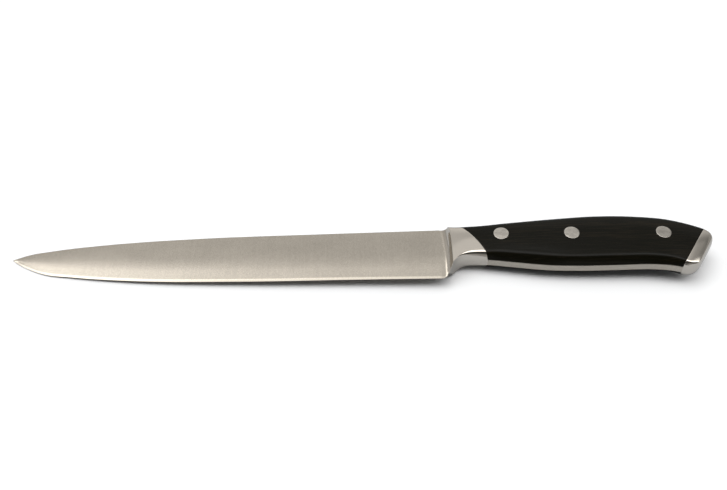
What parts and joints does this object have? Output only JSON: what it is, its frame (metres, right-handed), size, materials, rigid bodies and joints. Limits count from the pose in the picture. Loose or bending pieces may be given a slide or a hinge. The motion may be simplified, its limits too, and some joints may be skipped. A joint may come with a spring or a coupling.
{
  "type": "carving knife",
  "caption": "Slim forged slicing blade with a bolster, finger guard and full tang, between two dark riveted grip scales that end in a steel cap.",
  "frame": {"origin": "centre of the bounding box in plan, at its lowest side, with the knife lying on its left side and its middle plane level", "axes": "+X along the knife from the point to the butt, +Y across it from the cutting edge to the spine, +Z out of its right side"},
  "size_m": [0.324, 0.0316, 0.0148],
  "materials": {
    "blade_steel": "fine satin along the blade, polished on the bolster and the end cap, lengthwise brushed on the tang's edges",
    "grip_wood": "very dark brown hardwood, smooth with a soft sheen",
    "rivet_steel": "ground flush with the grip, fine circular brushing"
  },
  "bodies": {
    "root": {"forging": "blade_steel", "right_scale": "grip_wood", "left_scale": "grip_wood", "front_rivet_sleeve": "rivet_steel", "middle_rivet_sleeve": "rivet_steel", "rear_rivet_sleeve": "rivet_steel", "front_rivet_pin": "rivet_steel", "middle_rivet_pin": "rivet_steel", "rear_rivet_pin": "rivet_steel"}
  },
  "joints": []
}
